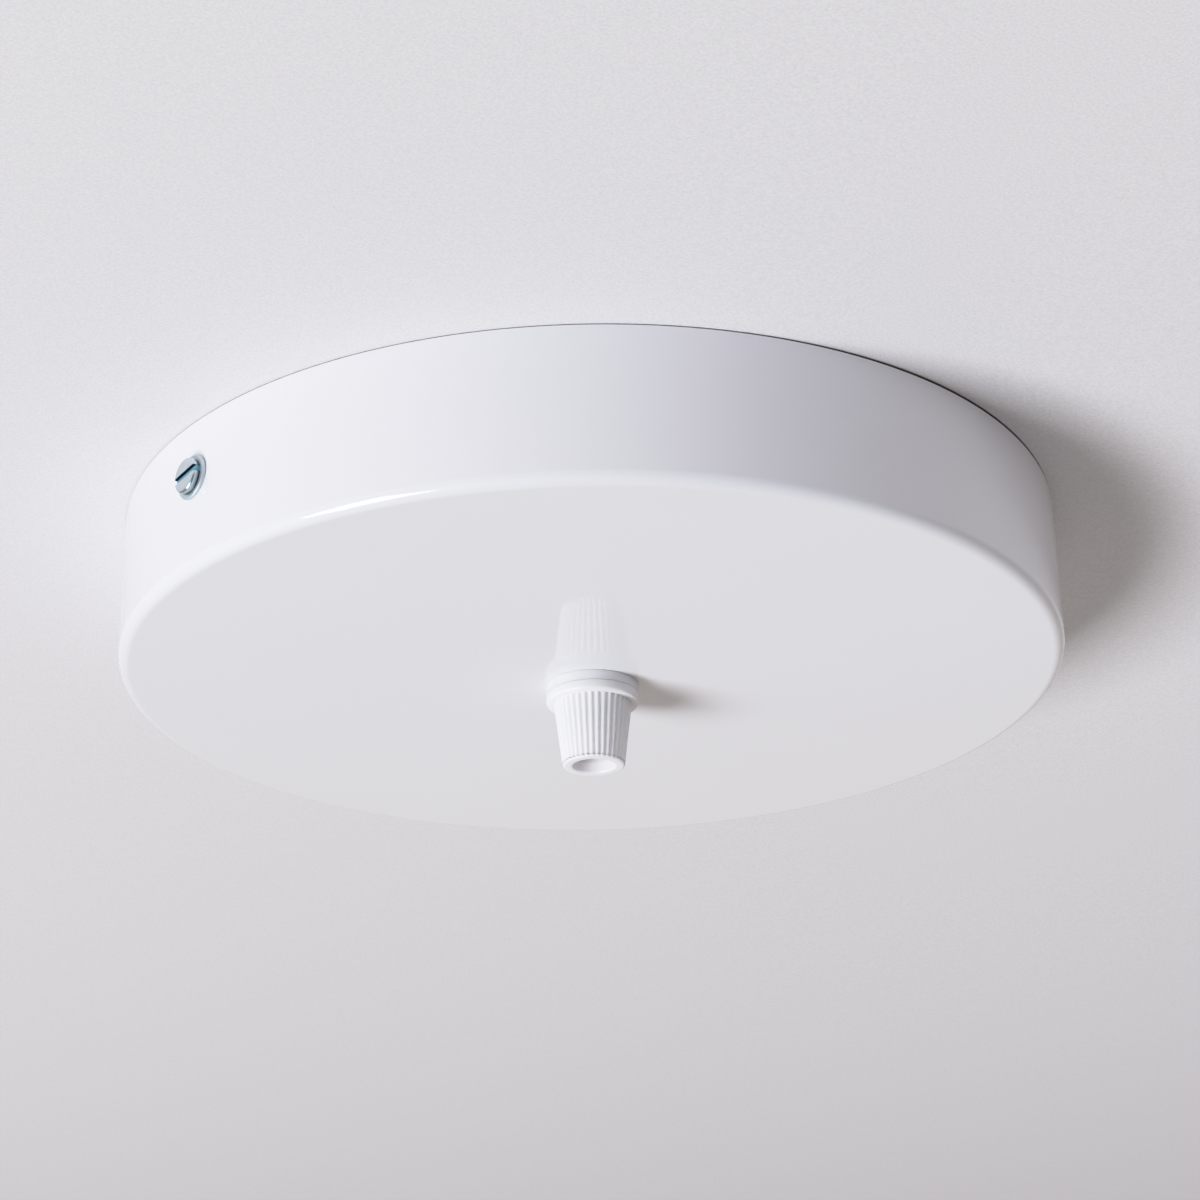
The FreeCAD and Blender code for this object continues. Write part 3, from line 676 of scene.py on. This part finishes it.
def makeLight():  # a cool softbox, and a grey room that is lighter and warmer on one side
    key = dict(azimuth=-99.5, elevation=-39.5, distance=2400.0, width=920.0, height=1064.0, watts=57.2,
               colour="#f2f7fd")
    lamp = bpy.data.lights.new("softbox", "AREA")
    lamp.shape = "RECTANGLE"
    lamp.size, lamp.size_y = key["width"] * mm, key["height"] * mm
    lamp.energy = key["watts"]
    lamp.color = hexLinear(key["colour"])[:3]
    softbox = bpy.data.objects.new("softbox", lamp)
    softbox.location = fromAngles(key["azimuth"], key["elevation"], key["distance"]) * mm
    softbox.rotation_euler = (-softbox.location).to_track_quat("-Z", "Y").to_euler()
    bpy.context.scene.collection.objects.link(softbox)

    room = dict(plain="#828384", warm="#ccc3ba", azimuth=125.0, elevation=-5.0)
    world = bpy.data.worlds.new("room")
    bpy.context.scene.world = world
    world.use_nodes = True
    tree = world.node_tree
    tree.nodes.clear()
    direction = addNode(tree, "TexCoord").outputs["Generated"]
    toward = addNode(tree, "VectorMath", {0: direction, 1: fromAngles(room["azimuth"], room["elevation"], 1)},
                     operation="DOT_PRODUCT")
    glow = addNode(tree, "MixRGB", {"Fac": toward.outputs["Value"], "Color1": hexLinear(room["plain"]),
                                    "Color2": hexLinear(room["warm"])}, use_clamp=True)
    shine = addNode(tree, "Background", {"Color": glow.outputs[0]})
    addNode(tree, "OutputWorld", {"Surface": shine.outputs[0]})


def makeCamera():
    shot = dict(azimuth=-39.97, elevation=-24.46, distance=421.1, aim=(1.133, -0.9495, -8.97), roll=-1.134, lens=76.97,
                sensor=36.0, nearest=10.0, farthest=10000.0)
    camera = bpy.data.objects.new("camera", bpy.data.cameras.new("camera"))
    bpy.context.scene.collection.objects.link(camera)
    camera.data.lens = shot["lens"]
    camera.data.sensor_width = shot["sensor"]
    camera.data.clip_start, camera.data.clip_end = shot["nearest"] * mm, shot["farthest"] * mm
    spot = fromAngles(shot["azimuth"], shot["elevation"], shot["distance"])
    look = (Vector(shot["aim"]) - spot).to_track_quat("-Z", "Y")
    camera.rotation_mode = "QUATERNION"
    camera.rotation_quaternion = look @ Quaternion((0, 0, 1), math.radians(shot["roll"]))
    camera.location = spot * mm
    bpy.context.scene.camera = camera


def developPicture():  # plain sRGB with the soft shoulder that a camera gives its brightest whites
    shoulder = dict(start=0.74, end=1.16, top=0.94)
    settings = bpy.context.scene.view_settings
    settings.view_transform = "Standard"
    settings.use_curve_mapping = True
    mapping = settings.curve_mapping
    mapping.clip_max_x = shoulder["end"]
    curve = mapping.curves[3]  # the one for all three colours
    curve.points[0].location = (0, 0)
    curve.points[1].location = (shoulder["end"], shoulder["top"])
    for share in (0.5, 1.0):  # two points keep the curve straight up to the shoulder
        curve.points.new(shoulder["start"] * share, shoulder["start"] * share)
    mapping.update()


makeCeiling()
makeLight()
makeCamera()
developPicture()
print("stage, light and camera set")

bpy.context.view_layer.update()
